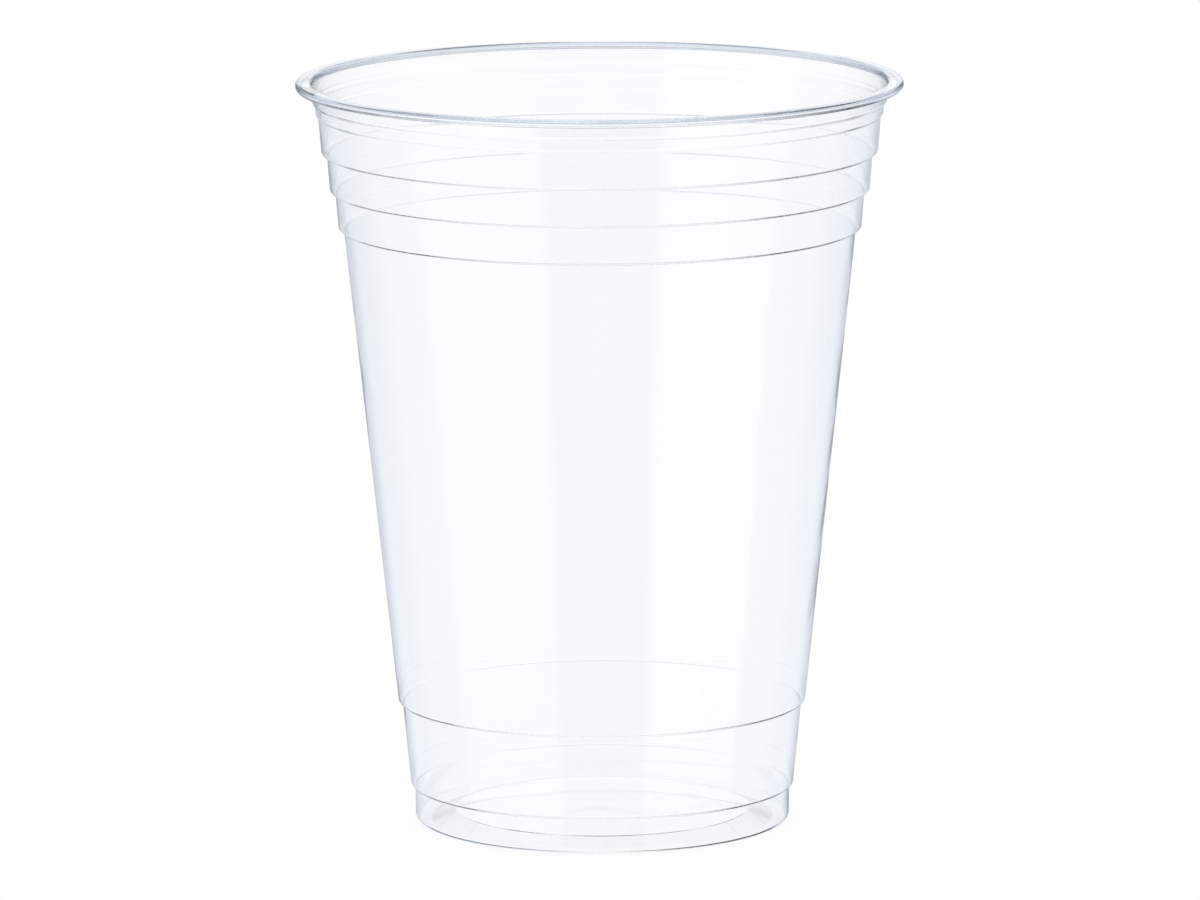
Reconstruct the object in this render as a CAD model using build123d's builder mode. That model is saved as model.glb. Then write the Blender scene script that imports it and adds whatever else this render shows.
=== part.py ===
from build123d import *
import math
import os

# Clear disposable drinking cup, drawn as one piece from a thin plastic sheet.
# Millimetres, +Z up, with the origin on the cup's axis in the plane that it stands on.

# Overall sizes
cup_height = 121.0
rim_diameter = 98.0
foot_diameter = 60.8
wall = 0.25

# From here on, bends are the radius of the sheet's middle, and heights are taken to its middle.
# Lip: the sheet turns outward over the top of the neck, and its edge curls under
lip_round = 0.95
lip_flat = 1.15
curl_round = 0.5
curl_side = 0.05
curl_reach = 0.3

# Neck and collar, just under the lip
neck_height = 3.0
neck_step = 0.6
neck_slope = 45.0
neck_bend = 0.6
collar_height = 2.1
collar_draft = 3.0
collar_step = 0.4
collar_slope = 45.0
collar_bend = 0.5

# Bands below the collar, each one smaller than the one above it
band_count = 3
band_height = 6.15
band_draft = 4.5
band_step = 0.88

# Lower band and foot, and the fall of their ledges
lower_band_height = 13.4
lower_band_draft = 5.6
lower_band_step = 0.64
foot_height = 6.05
foot_step = 0.7
foot_round = 1.05
lower_slope = 30.0

# Base: a flat stand ring round a panel that is raised off the table
stand_ring_width = 2.6
panel_rise = 1.5
panel_slope = 21.0
panel_bend = 0.75

# Fall of the bands' ledges towards the axis, and the bends at every ledge below the collar
ledge_slope = 20.0
ledge_bend = 0.3


def slant(length, degrees):
    """Sideways run of a line that leans by so many degrees over a length."""
    return length * math.tan(math.radians(degrees))


# The corners follow the middle of the sheet, from the lip's free edge over the lip, down the wall
# and inward to the middle of the base
half_wall = wall / 2
lip_edge = rim_diameter / 2 - half_wall
lip_top = cup_height - half_wall
curl_bottom = lip_top - 2 * curl_round - curl_side
neck_radius = lip_edge - curl_round - lip_flat - lip_round
corners = [
    (lip_edge - curl_round - curl_reach, curl_bottom),
    (lip_edge, curl_bottom),
    (lip_edge, lip_top),
    (neck_radius, lip_top),
]
bends = [curl_round, curl_round, lip_round]

# Neck, collar and bands, from the top down, each one ending in a ledge that falls inward
stretches = [
    (neck_height, 0, neck_step, neck_slope, neck_bend),
    (collar_height, collar_draft, collar_step, collar_slope, collar_bend),
]
stretches += [(band_height, band_draft, band_step, ledge_slope, ledge_bend)] * band_count
radius = neck_radius
ledge_top = lip_top
fall = 0
for height, draft, step, slope, bend in stretches:
    radius -= slant(height - fall, draft)
    ledge_top -= height
    fall = slant(step, slope)
    corners += [(radius, ledge_top), (radius - step, ledge_top - fall)]
    bends += [bend, bend]
    radius -= step

# Lower band and foot. The main wall is the straight run that joins them to the bands.
foot_radius = foot_diameter / 2 - half_wall
lower_band_top = foot_height + lower_band_height
lower_band_radius = foot_radius + foot_step + slant(lower_band_height, lower_band_draft)
corners += [
    (lower_band_radius + lower_band_step, lower_band_top + slant(lower_band_step, lower_slope)),
    (lower_band_radius, lower_band_top),
    (foot_radius + foot_step, foot_height),
    (foot_radius, foot_height - slant(foot_step, lower_slope)),
]
bends += [ledge_bend] * 4

# Base
stand_ring_radius = foot_diameter / 2 - stand_ring_width
panel_radius = stand_ring_radius - slant(panel_rise, 90 - panel_slope)
corners += [
    (foot_radius, half_wall),
    (stand_ring_radius, half_wall),
    (panel_radius, half_wall + panel_rise),
    (0, half_wall + panel_rise),
]
bends += [foot_round, panel_bend, panel_bend]

# The sheet is as thick on one side of its middle as on the other, and its free edge is rounded.
# The same round at the other end lies past the axis and is cut off.
with BuildPart() as cup:
    with BuildSketch(Plane.XZ):
        with BuildLine():
            middle = FilletPolyline(*corners, radius=bends)
            offset(middle, amount=half_wall)
        make_face()
        split(bisect_by=Plane.YZ)
    revolve(axis=Axis.Z)

cup.part.label = "cup"

os.makedirs("parts", exist_ok=True)
export_step(cup.part, "parts/cup.step")
print(f"cup: {cup.part.volume:.0f} cubic mm, {len(cup.part.faces())} faces")
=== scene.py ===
import cmath
import math

import bpy
from mathutils import Matrix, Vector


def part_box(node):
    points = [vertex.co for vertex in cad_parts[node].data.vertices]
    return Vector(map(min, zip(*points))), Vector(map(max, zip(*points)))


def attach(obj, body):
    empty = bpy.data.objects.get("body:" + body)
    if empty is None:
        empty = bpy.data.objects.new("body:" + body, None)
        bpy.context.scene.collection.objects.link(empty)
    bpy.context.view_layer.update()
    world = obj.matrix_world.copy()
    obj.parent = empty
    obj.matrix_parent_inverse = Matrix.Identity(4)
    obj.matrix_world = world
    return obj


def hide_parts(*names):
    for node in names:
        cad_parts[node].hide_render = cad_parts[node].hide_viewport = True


# A clear disposable drinking cup on a white floor. Metres, +Z up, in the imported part's frame.
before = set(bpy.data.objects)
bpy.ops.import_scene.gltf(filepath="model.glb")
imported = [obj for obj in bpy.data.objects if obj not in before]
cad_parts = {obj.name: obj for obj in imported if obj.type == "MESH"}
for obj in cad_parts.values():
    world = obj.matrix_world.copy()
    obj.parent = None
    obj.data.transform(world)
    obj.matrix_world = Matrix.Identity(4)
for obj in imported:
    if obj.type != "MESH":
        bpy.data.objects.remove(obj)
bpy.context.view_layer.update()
cup_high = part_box("cup")[1]

MM = 0.001

# The sheet that the cup is drawn from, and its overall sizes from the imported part. Bends are the radius
# of the sheet's middle, and heights are taken to its middle.
wall = 0.25 * MM
half_wall = wall / 2
cup_height = cup_high.z
rim_radius = cup_high.y

# Lip: the sheet turns outward over the top of the neck, and its edge curls under
lip_round = 0.95 * MM
lip_flat = 1.15 * MM
curl_round = 0.5 * MM
curl_side = 0.05 * MM
curl_reach = 0.3 * MM
neck_radius = rim_radius - half_wall - curl_round - lip_flat - lip_round

# Extra thickness of the lip, on the sheet's hidden side, and the heights between which the lip's inner
# round takes it up
lip_extra = 0.25 * MM
lip_extra_rise = (119.9 * MM, 120.85 * MM)

# Fall of the bands' ledges in degrees, and the bends at every ledge below the collar
ledge_slope = 20
ledge_bend = 0.3 * MM

# Neck, collar and bands: height, draft in degrees, and the ledge's width, fall in degrees and bends
neck = (3.0 * MM, 0, 0.6 * MM, 45, 0.6 * MM)
collar = (2.1 * MM, 3.0, 0.4 * MM, 45, 0.5 * MM)
band = (6.15 * MM, 4.5, 0.88 * MM, ledge_slope, ledge_bend)
band_count = 3

# Lower band, foot and base
lower_band_height = 13.4 * MM
lower_band_draft = 5.6
lower_band_step = 0.64 * MM
foot_edge_radius = 30.4 * MM
foot_radius = foot_edge_radius - half_wall
foot_height = 6.05 * MM
foot_step = 0.7 * MM
lower_slope = 30
foot_round = 1.05 * MM
stand_ring_width = 2.6 * MM
stand_ring_radius = foot_edge_radius - stand_ring_width
panel_rise = 1.5 * MM
panel_slope = 21
panel_bend = 0.75 * MM

# How finely the mesh is cut: sectors round the axis, and facets in each bend and round the free edge
SECTORS = 360
DEGREES_PER_FACET = 12
FEWEST_FACETS = 2
EDGE_FACETS = 8

# Plastic: the light that its surface and its depth leave, the heights between which the lip's deeper tint
# and painted shade set in, and the waves in its surface
PLASTIC_INDEX = 1.57
SURFACE_TINT = (0.985, 0.993, 1)
# Lip colour: the deeper tint of its thicker plastic, with painted shade that darkens it
LIP_TINT_AND_SHADE = (0.76, 0.83, 0.91)
LIP_TINT_AND_SHADE_RISE = (120.3 * MM, 120.75 * MM)
DEPTH_TINT = (0.2, 0.5, 0.8)
DEPTH_DENSITY = 14
WAVES_PER_METRE = 45
WAVE_DEPTH = 0.1 * MM

# Camera: a long lens, 1.6 m in front of the cup and looking slightly down. Angles are in degrees, and
# the sensor and the lens in millimetres.
CAMERA_DISTANCE = 1.6
CAMERA_HEIGHT = 0.335
CAMERA_SIDE = -0.15 * MM
CAMERA_PITCH = -9.736
CAMERA_ROLL = -0.235
SENSOR_WIDTH = 36
LENS = 300.8

# Floor, a hair under the cup: its glow makes it nearly white, and the light of the room on it adds the
# rest and keeps the cup's shadow
FLOOR_SIDES = 64
FLOOR_RADIUS = 1.0
FLOOR_HEIGHT = -0.02 * MM
FLOOR_GLOW = 0.92
FLOOR_SHADE = 0.12

# Room, as reflections see it: rings from the floor up to the ceiling. A ring is an elevation in degrees
# and a list of azimuths (0 in front, 90 on the right), each with its level and tint. The room is white
# and a little darker in front. It is dark at both sides behind the cup, for the lines that it draws
# on the lip and along the outlines.
NEUTRAL = (1, 1, 1)
COOL = (0.95, 0.99, 1.1)
BLUE = (0.85, 1, 1.2)
ROOM = [
    (-55, [(-180, 1.0, NEUTRAL), (-172, 1.0, NEUTRAL), (-166, 0.35, BLUE), (-144, 0.25, BLUE),
           (-134, 1.2, NEUTRAL), (-50, 1.4, NEUTRAL), (0, 1.1, NEUTRAL), (50, 1.35, NEUTRAL),
           (120, 1.2, NEUTRAL), (132, 0.02, BLUE), (166, 0.1, BLUE), (172, 1.0, NEUTRAL),
           (180, 1.0, NEUTRAL)]),
    (-30, [(-180, 1.0, NEUTRAL), (-176, 1.0, NEUTRAL), (-171, 0.35, BLUE), (-150, 0.25, BLUE),
           (-140, 1.0, NEUTRAL), (-50, 1.15, NEUTRAL), (0, 0.9, NEUTRAL), (50, 1.15, NEUTRAL),
           (138, 1.0, NEUTRAL), (148, 0.02, BLUE), (171, 0.1, BLUE), (176, 1.0, NEUTRAL),
           (180, 1.0, NEUTRAL)]),
    (-20, [(-180, 0.95, NEUTRAL), (-174, 0.6, COOL), (-158, 0.75, COOL), (-146, 0.95, COOL),
           (-90, 0.88, COOL), (-85, 1.1, NEUTRAL), (-27, 1.05, NEUTRAL), (-22, 0.72, COOL),
           (23, 0.72, COOL), (28, 1.0, NEUTRAL), (83, 1.1, NEUTRAL), (88, 0.88, COOL),
           (146, 0.95, COOL), (158, 0.75, COOL), (174, 0.6, COOL), (180, 0.95, NEUTRAL)]),
    (-11, [(-180, 0.95, NEUTRAL), (-174, 0.6, COOL), (-158, 0.75, COOL), (-146, 0.95, COOL),
           (-90, 0.85, COOL), (-85, 1.0, NEUTRAL), (-27, 1.05, NEUTRAL), (-22, 0.62, COOL),
           (23, 0.62, COOL), (28, 0.85, NEUTRAL), (83, 0.9, NEUTRAL), (88, 0.85, COOL),
           (146, 0.95, COOL), (158, 0.75, COOL), (174, 0.6, COOL), (180, 0.95, NEUTRAL)]),
    (-3, [(-180, 0.95, NEUTRAL), (-172, 0.85, NEUTRAL), (-166, 0.45, BLUE), (-140, 0.5, BLUE),
          (-115, 0.7, COOL), (-90, 0.7, COOL), (-85, 0.9, NEUTRAL), (-62, 0.9, NEUTRAL),
          (-58, 1.3, NEUTRAL), (-34, 1.3, NEUTRAL), (-24, 0.55, COOL), (24, 0.55, COOL),
          (28, 0.7, NEUTRAL), (84, 0.75, NEUTRAL), (90, 0.7, COOL), (115, 0.7, COOL), (140, 0.4, BLUE),
          (166, 0.25, BLUE), (172, 0.85, NEUTRAL), (180, 0.95, NEUTRAL)]),
    (8, [(-180, 1.1, NEUTRAL), (-172, 1.0, NEUTRAL), (-166, 0.15, BLUE), (-130, 0.15, BLUE),
         (-100, 0.85, NEUTRAL), (95, 0.85, NEUTRAL), (112, 0.05, BLUE), (166, 0.05, BLUE),
         (172, 1.0, NEUTRAL), (180, 1.1, NEUTRAL)]),
    (11, [(-180, 1.1, NEUTRAL), (-172, 1.0, NEUTRAL), (-166, 0.3, BLUE), (-130, 0.3, BLUE),
          (-100, 0.85, NEUTRAL), (95, 0.85, NEUTRAL), (115, 0.1, BLUE), (166, 0.1, BLUE),
          (172, 1.0, NEUTRAL), (180, 1.1, NEUTRAL)]),
    (17, [(-180, 0.9, NEUTRAL), (-160, 0.8, COOL), (-90, 0.7, COOL), (0, 0.7, COOL), (90, 0.7, COOL),
          (160, 0.8, COOL), (180, 0.9, NEUTRAL)]),
    (34, [(-180, 0.9, NEUTRAL), (-90, 0.9, NEUTRAL), (0, 0.7, COOL), (90, 0.9, NEUTRAL),
          (180, 0.9, NEUTRAL)]),
    (55, [(-180, 1.0, NEUTRAL), (0, 0.85, NEUTRAL), (180, 1.0, NEUTRAL)]),
]

# Ceiling: dark to light that only passes through the sheet. It sets in between two elevations, each
# given by its sine.
CEILING_THROUGH = (0.12, 0.16, 0.26)
CEILING_RISE = (0.17, 0.34)

# Grey of the room as the light that falls on the floor
ROOM_GREY = 0.8

# Light caught between the sheet's two sides is followed far enough to get out again
BOUNCES = 96

# Glossy Depth counts reflections, so this parts none from one
REFLECTION_LIMIT = 0.5

# Places of the colours among the sockets of a Mix node
MIX_COLOURS = (6, 7)
MIX_RESULT = 2


def slant(length, degrees):
    """Sideways run of a line that leans by so many degrees over a length."""
    return length * math.tan(math.radians(degrees))


def cup_corners():
    """Corners and bends of the middle of the sheet, from the lip's free edge to the axis.

    A corner is a complex number, its radius plus 1j times its height."""
    lip_edge = rim_radius - half_wall
    lip_top = cup_height - half_wall
    curl_bottom = lip_top - 2 * curl_round - curl_side
    corners = [
        complex(lip_edge - curl_round - curl_reach, curl_bottom),
        complex(lip_edge, curl_bottom),
        complex(lip_edge, lip_top),
        complex(neck_radius, lip_top),
    ]
    bends = [curl_round, curl_round, lip_round]

    # Neck, collar and bands, from the top down, each one ending in a ledge that falls inward
    radius = neck_radius
    ledge_top = lip_top
    fall = 0
    stretches = [neck, collar] + [band] * band_count
    for height, draft, step, slope, bend in stretches:
        radius -= slant(height - fall, draft)
        ledge_top -= height
        fall = slant(step, slope)
        corners += [complex(radius, ledge_top), complex(radius - step, ledge_top - fall)]
        bends += [bend, bend]
        radius -= step

    # Lower band, foot and base. The main wall is the straight run that joins them to the bands.
    lower_top = foot_height + lower_band_height
    lower_radius = foot_radius + foot_step + slant(lower_band_height, lower_band_draft)
    panel_radius = stand_ring_radius - slant(panel_rise, 90 - panel_slope)
    corners += [
        complex(lower_radius + lower_band_step, lower_top + slant(lower_band_step, lower_slope)),
        complex(lower_radius, lower_top),
        complex(foot_radius + foot_step, foot_height),
        complex(foot_radius, foot_height - slant(foot_step, lower_slope)),
        complex(foot_radius, half_wall),
        complex(stand_ring_radius, half_wall),
        complex(panel_radius, half_wall + panel_rise),
        complex(0, half_wall + panel_rise),
    ]
    bends += [ledge_bend] * 4 + [foot_round, panel_bend, panel_bend]
    return corners, bends


def heading(start, end):
    """The direction from one point to another, as a complex number of length 1."""
    return (end - start) / abs(end - start)


def rounded_line(corners, bends):
    """Points along straight runs joined by arcs, each with the normal on the cup's outer side."""
    line = [(corners[0], heading(corners[0], corners[1]) * 1j)]
    for before, corner, after, bend in zip(corners, corners[1:], corners[2:], bends):
        arriving = heading(before, corner)
        turn = cmath.phase(heading(corner, after) / arriving)
        inward = 1j if turn > 0 else -1j
        start = corner - arriving * bend * math.tan(abs(turn) / 2)
        centre = start + arriving * inward * bend
        facets = max(FEWEST_FACETS, math.ceil(abs(math.degrees(turn)) / DEGREES_PER_FACET))
        for step in range(facets + 1):
            along = arriving * cmath.exp(1j * turn * step / facets)
            line.append((centre - along * inward * bend, along * 1j))
    line.append((corners[-1], heading(corners[-2], corners[-1]) * 1j))
    return line


def lip_thickening(point):
    """Extra thickness at a point of the sheet's middle: all of it on the lip, and none on the wall."""
    if point.real >= neck_radius + lip_round:
        return lip_extra
    start, end = lip_extra_rise
    share = min(max((point.imag - start) / (end - start), 0), 1)
    return lip_extra * share * share * (3 - 2 * share)


def sheet_outline():
    """The sheet's whole section as points and normals: up its outer side and down its inner one."""
    middle = rounded_line(*cup_corners())
    inner = [(point - normal * half_wall, -normal) for point, normal in middle]
    extras = [lip_thickening(point) for point, normal in middle]
    places = [point + normal * (half_wall + extra) for (point, normal), extra in zip(middle, extras)]

    # The outer side's normals lean where the sheet gets thicker
    outer = [(places[0], middle[0][1])]
    for number in range(1, len(middle) - 1):
        along = places[number + 1] - places[number - 1]
        rise = (extras[number + 1] - extras[number - 1]) / abs(along)
        normal = middle[number][1] - rise * along / abs(along)
        outer.append((places[number], normal / abs(normal)))
    outer.append((places[-1], middle[-1][1]))

    # The free edge is a half round between the two sides
    edge, edge_normal = middle[0]
    edge_round = half_wall + extras[0] / 2
    edge += edge_normal * extras[0] / 2
    free_edge = []
    for step in range(1, EDGE_FACETS):
        normal = edge_normal * cmath.exp(1j * math.pi * step / EDGE_FACETS)
        free_edge.append((edge + normal * edge_round, normal))
    return outer[::-1] + free_edge + inner


def turned_mesh(name, outline):
    """The closed mesh that an outline makes as it turns about the Z axis, on which both its ends lie."""
    turns = [2 * math.pi * sector / SECTORS for sector in range(SECTORS)]
    first, last = outline[0], outline[-1]
    points = [(0, 0, first[0].imag)]
    normals = [(0, 0, first[1].imag)]
    for point, normal in outline[1:-1]:
        points += [(point.real * math.cos(a), point.real * math.sin(a), point.imag) for a in turns]
        normals += [(normal.real * math.cos(a), normal.real * math.sin(a), normal.imag) for a in turns]
    points.append((0, 0, last[0].imag))
    normals.append((0, 0, last[1].imag))

    top = len(points) - 1
    faces = []
    for sector in range(SECTORS):
        this, following = sector, (sector + 1) % SECTORS
        faces.append((0, 1 + following, 1 + this))
        for ring in range(len(outline) - 3):
            low = 1 + ring * SECTORS
            high = low + SECTORS
            faces.append((low + this, low + following, high + following, high + this))
        faces.append((top, top - SECTORS + this, top - SECTORS + following))

    mesh = bpy.data.meshes.new(name)
    mesh.from_pydata(points, [], faces)
    mesh.shade_smooth()
    mesh.normals_split_custom_set_from_vertices(normals)
    return mesh


def calculate(tree, operation, *values):
    """A Math node of a node tree, with numbers or other nodes' sockets as its inputs."""
    node = tree.nodes.new("ShaderNodeMath")
    node.operation = operation
    for socket, value in zip(node.inputs, values):
        if isinstance(value, bpy.types.NodeSocket):
            tree.links.new(value, socket)
        else:
            socket.default_value = value
    return node.outputs[0]


def fade(tree, value, start, end):
    """A smooth rise from 0 to 1 while a value goes from start to end."""
    node = tree.nodes.new("ShaderNodeMapRange")
    node.interpolation_type = "SMOOTHSTEP"
    tree.links.new(value, node.inputs["Value"])
    node.inputs["From Min"].default_value = start
    node.inputs["From Max"].default_value = end
    return node.outputs["Result"]


def blend_colours(tree, factor, first, second):
    """A Mix node between two colours, each a tuple or another node's socket."""
    node = tree.nodes.new("ShaderNodeMix")
    node.data_type = "RGBA"
    tree.links.new(factor, node.inputs["Factor"])
    for place, value in zip(MIX_COLOURS, (first, second)):
        if isinstance(value, bpy.types.NodeSocket):
            tree.links.new(value, node.inputs[place])
        else:
            node.inputs[place].default_value = (*value, 1)
    return node.outputs[MIX_RESULT]


def clear_plastic():
    """Clear glossy sheet: nearly colourless through the wall, bluer along it."""
    material = bpy.data.materials.new("clear_sheet")
    material.use_nodes = True
    tree = material.node_tree
    shader = tree.nodes["Principled BSDF"]
    shader.inputs["Roughness"].default_value = 0
    shader.inputs["IOR"].default_value = PLASTIC_INDEX
    shader.inputs["Transmission Weight"].default_value = 1
    absorption = tree.nodes.new("ShaderNodeVolumeAbsorption")
    absorption.inputs["Color"].default_value = (*DEPTH_TINT, 1)
    absorption.inputs["Density"].default_value = DEPTH_DENSITY
    tree.links.new(absorption.outputs["Volume"], tree.nodes["Material Output"].inputs["Volume"])

    # The flat top of the lip is bluer and darker: partly the deeper tint of its thicker plastic, partly
    # painted shade
    place = tree.nodes.new("ShaderNodeTexCoord")
    axes = tree.nodes.new("ShaderNodeSeparateXYZ")
    tree.links.new(place.outputs["Object"], axes.inputs[0])
    lip_shade_mask = fade(tree, axes.outputs["Z"], *LIP_TINT_AND_SHADE_RISE)
    tint = blend_colours(tree, lip_shade_mask, SURFACE_TINT, LIP_TINT_AND_SHADE)
    tree.links.new(tint, shader.inputs["Base Color"])

    # Both sides of the sheet share the same faint waves
    waves = tree.nodes.new("ShaderNodeTexNoise")
    waves.inputs["Scale"].default_value = WAVES_PER_METRE
    tree.links.new(place.outputs["Object"], waves.inputs["Vector"])
    bump = tree.nodes.new("ShaderNodeBump")
    bump.inputs["Distance"].default_value = WAVE_DEPTH
    tree.links.new(waves.outputs["Fac"], bump.inputs["Height"])
    tree.links.new(bump.outputs["Normal"], shader.inputs["Normal"])
    return material


def seen_by_camera_and_glass(tree, path):
    """A factor of 1 for rays from the camera and off or through glossy and clear surfaces."""
    either = calculate(tree, "MAXIMUM", path.outputs["Is Camera Ray"], path.outputs["Is Glossy Ray"])
    return calculate(tree, "MAXIMUM", either, path.outputs["Is Transmission Ray"])


def path_reflected(tree, path):
    """A factor of 1 for rays that have been reflected on their way, outside or inside the sheet."""
    return calculate(tree, "GREATER_THAN", path.outputs["Glossy Depth"], REFLECTION_LIMIT)


def white_floor():
    """A round white floor that keeps the object's shadow."""
    mesh = bpy.data.meshes.new("floor")
    turns = [2 * math.pi * side / FLOOR_SIDES for side in range(FLOOR_SIDES)]
    ring = [(FLOOR_RADIUS * math.cos(a), FLOOR_RADIUS * math.sin(a), 0) for a in turns]
    mesh.from_pydata(ring, [], [tuple(range(FLOOR_SIDES))])
    floor = bpy.data.objects.new("floor", mesh)
    bpy.context.scene.collection.objects.link(floor)
    floor.location.z = FLOOR_HEIGHT
    material = bpy.data.materials.new("floor_white")
    material.use_nodes = True
    tree = material.node_tree
    tree.nodes.clear()
    diffuse = tree.nodes.new("ShaderNodeBsdfDiffuse")
    diffuse.inputs["Color"].default_value = (FLOOR_SHADE, FLOOR_SHADE, FLOOR_SHADE, 1)
    path = tree.nodes.new("ShaderNodeLightPath")
    glow = tree.nodes.new("ShaderNodeEmission")
    strength = calculate(tree, "MULTIPLY", seen_by_camera_and_glass(tree, path), FLOOR_GLOW)
    tree.links.new(strength, glow.inputs["Strength"])
    both = tree.nodes.new("ShaderNodeAddShader")
    tree.links.new(diffuse.outputs[0], both.inputs[0])
    tree.links.new(glow.outputs[0], both.inputs[1])

    # Reflections see the room's own floor in its place
    clear = tree.nodes.new("ShaderNodeBsdfTransparent")
    mix = tree.nodes.new("ShaderNodeMixShader")
    tree.links.new(path_reflected(tree, path), mix.inputs[0])
    tree.links.new(both.outputs[0], mix.inputs[1])
    tree.links.new(clear.outputs[0], mix.inputs[2])
    output = tree.nodes.new("ShaderNodeOutputMaterial")
    tree.links.new(mix.outputs[0], output.inputs["Surface"])
    mesh.materials.append(material)


def ring_ramp(tree, turns, stops):
    """A colour ramp round one ring of the room."""
    ramp = tree.nodes.new("ShaderNodeValToRGB")
    tree.links.new(turns, ramp.inputs["Fac"])
    elements = ramp.color_ramp.elements
    while len(elements) > 1:
        elements.remove(elements[-1])
    for number, (azimuth, level, tint) in enumerate(stops):
        position = azimuth / 360 + 0.5
        element = elements[0] if number == 0 else elements.new(position)
        element.position = position
        element.color = (level * tint[0], level * tint[1], level * tint[2], 1)
    return ramp.outputs["Color"]


def studio():
    """A white room, in which reflections see the rings of a photographer's studio."""
    world = bpy.data.worlds.new("studio")
    bpy.context.scene.world = world
    world.use_nodes = True
    tree = world.node_tree
    place = tree.nodes.new("ShaderNodeTexCoord")
    axes = tree.nodes.new("ShaderNodeSeparateXYZ")
    tree.links.new(place.outputs["Generated"], axes.inputs[0])
    x, y, z = axes.outputs

    # Azimuth in turns, from 0 behind the cup through 0.25 on its left and 0.5 in front
    angle = calculate(tree, "ARCTAN2", x, calculate(tree, "MULTIPLY", y, -1))
    turns = calculate(tree, "MULTIPLY_ADD", angle, 0.5 / math.pi, 0.5)
    heights = [math.sin(math.radians(elevation)) for elevation, stops in ROOM]
    rings = [ring_ramp(tree, turns, stops) for elevation, stops in ROOM]
    room = rings[0]
    for low, high, ring in zip(heights, heights[1:], rings[1:]):
        room = blend_colours(tree, fade(tree, z, low, high), room, ring)

    # Light that only passed through the sheet sees white below the ceiling, and the camera sees white
    path = tree.nodes.new("ShaderNodeLightPath")
    through = blend_colours(tree, fade(tree, z, *CEILING_RISE), NEUTRAL, CEILING_THROUGH)
    clear_view = blend_colours(tree, path_reflected(tree, path), through, room)
    clear_view = blend_colours(tree, path.outputs["Is Camera Ray"], clear_view, NEUTRAL)
    seen = seen_by_camera_and_glass(tree, path)
    colour = blend_colours(tree, seen, (ROOM_GREY, ROOM_GREY, ROOM_GREY), clear_view)
    tree.links.new(colour, tree.nodes["Background"].inputs["Color"])


def photo_camera():
    """The photograph's view: a long lens with its slight roll."""
    data = bpy.data.cameras.new("camera")
    data.sensor_width = SENSOR_WIDTH
    data.lens = LENS
    camera = bpy.data.objects.new("camera", data)
    bpy.context.scene.collection.objects.link(camera)
    tilt = Matrix.Rotation(math.radians(90 + CAMERA_PITCH), 4, "X")
    roll = Matrix.Rotation(math.radians(CAMERA_ROLL), 4, "Z")
    place = Matrix.Translation((CAMERA_SIDE, -CAMERA_DISTANCE, CAMERA_HEIGHT))
    camera.matrix_world = place @ tilt @ roll
    bpy.context.scene.camera = camera


cup = bpy.data.objects.new("cup_sheet", turned_mesh("cup_sheet", sheet_outline()))
bpy.context.scene.collection.objects.link(cup)
cup.data.materials.append(clear_plastic())
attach(cup, "root")
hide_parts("cup")

white_floor()
studio()
photo_camera()

scene = bpy.context.scene
scene.view_settings.view_transform = "Standard"
scene.cycles.max_bounces = BOUNCES
scene.cycles.glossy_bounces = BOUNCES
scene.cycles.transmission_bounces = BOUNCES
